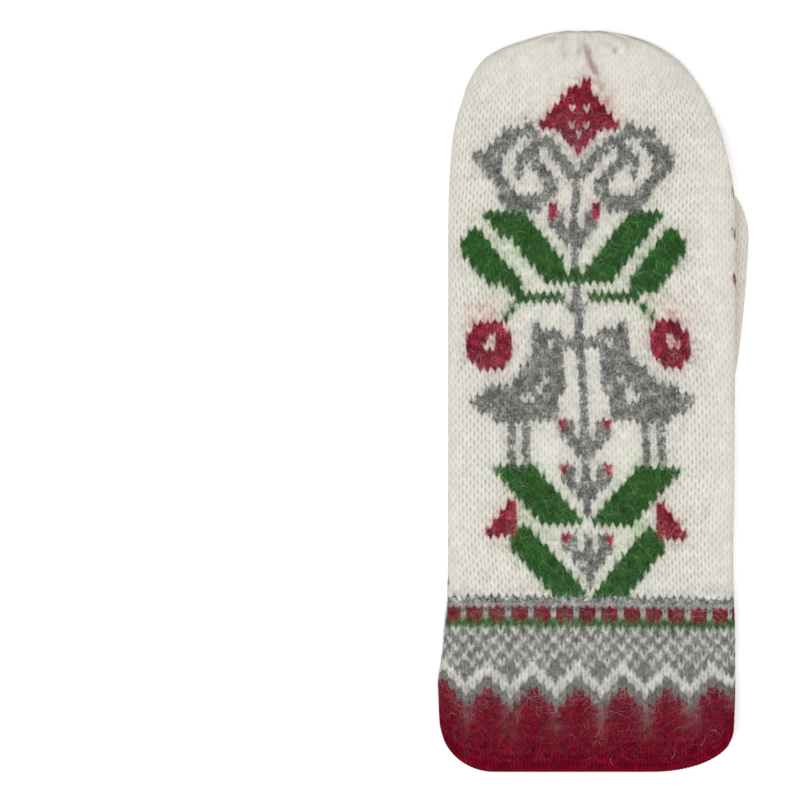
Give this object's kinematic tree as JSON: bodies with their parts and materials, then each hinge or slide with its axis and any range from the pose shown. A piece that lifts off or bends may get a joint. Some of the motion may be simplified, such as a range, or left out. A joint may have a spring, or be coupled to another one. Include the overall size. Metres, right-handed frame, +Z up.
{
  "type": "knitted mitten",
  "caption": "Left-hand knitted wool mitten lying on its palm: bag-shaped hand, straight cuff with a turned-in hem, thumb folded flat under the palm.",
  "frame": {"origin": "on the surface it lies on, under the middle of its bounding box", "axes": "+Y from the cuff's rim to the fingertips, +X to the thumb's side, +Z up out of the back of the hand; it lies on its palm"},
  "size_m": [0.1136, 0.27, 0.0264],
  "materials": {
    "cream_wool": "cream wool knitting with a green, grey and crimson pattern, soft and fuzzy",
    "crimson_wool": "crimson, grey, white and green wool knitting, soft and fuzzy",
    "thumb_wool": "plain cream wool knitting, soft and fuzzy"
  },
  "bodies": {
    "root": {"hand": "cream_wool", "cuff": "crimson_wool", "thumb": "thumb_wool"}
  },
  "joints": []
}
